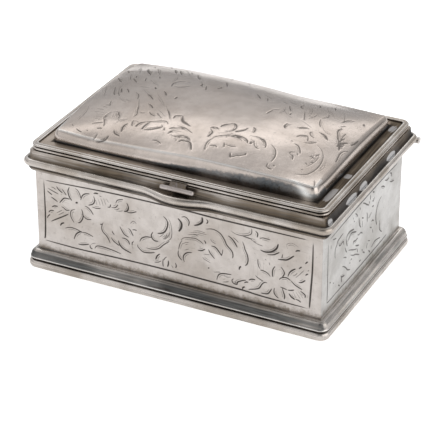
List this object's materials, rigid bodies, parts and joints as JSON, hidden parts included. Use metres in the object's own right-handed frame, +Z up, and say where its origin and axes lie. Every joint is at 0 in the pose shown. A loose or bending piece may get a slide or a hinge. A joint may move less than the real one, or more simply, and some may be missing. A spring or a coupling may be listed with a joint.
{
  "type": "stamp box",
  "caption": "Footed rectangular silver stamp box with moulded rim, domed hinged lid on a long knuckle hinge, thumb bar and a curved, divided stamp tray.",
  "frame": {"origin": "centre of the case, measured on the walls, on the plane that the foot stands on", "axes": "+Z up, +X along the length with the thumb bar side towards -Y, the hinge towards +Y"},
  "size_m": [0.0706, 0.0516, 0.0359],
  "materials": {
    "silver_engraved": "worn silver sheet, engraved, warm grey with dark cuts",
    "silver_moulding": "drawn silver moulding, polished on its rolls and dark in its grooves",
    "silver_tarnished": "brown-black tarnish with worn patches",
    "silver_inside": "plain satin silver, slightly yellowed",
    "silver_underside": "plain silver, rubbed dull",
    "silver_hinge": "bright rubbed silver tube and wire"
  },
  "bodies": {
    "case": {"base_plate": "silver_underside", "foot_front": "silver_moulding", "foot_back": "silver_moulding", "foot_left": "silver_moulding", "foot_right": "silver_moulding", "front_wall": "silver_engraved", "back_wall": "silver_engraved", "left_wall": "silver_engraved", "right_wall": "silver_engraved", "rim_front": "silver_moulding", "rim_back": "silver_moulding", "rim_left": "silver_moulding", "rim_right": "silver_moulding", "hinge_packing": "silver_moulding", "tray_floor": "silver_inside", "tray_dividers": "silver_inside", "case_knuckles": "silver_hinge", "hinge_pin": "silver_hinge"},
    "lid": {"lid_frame_front": "silver_moulding", "lid_frame_back": "silver_moulding", "lid_frame_left": "silver_moulding", "lid_frame_right": "silver_moulding", "lid_plate": "silver_tarnished", "lid_bezel": "silver_inside", "lid_dome": "silver_engraved", "thumb_bar": "silver_hinge", "lid_leaf": "silver_moulding", "lid_knuckles": "silver_hinge"}
  },
  "joints": [
    {"name": "lid_hinge", "type": "hinge", "parent": "case", "child": "lid", "pos_m": [0, 0.0253, 0.02405], "axis": [-1, 0, 0], "range_deg": [0, 105]}
  ]
}
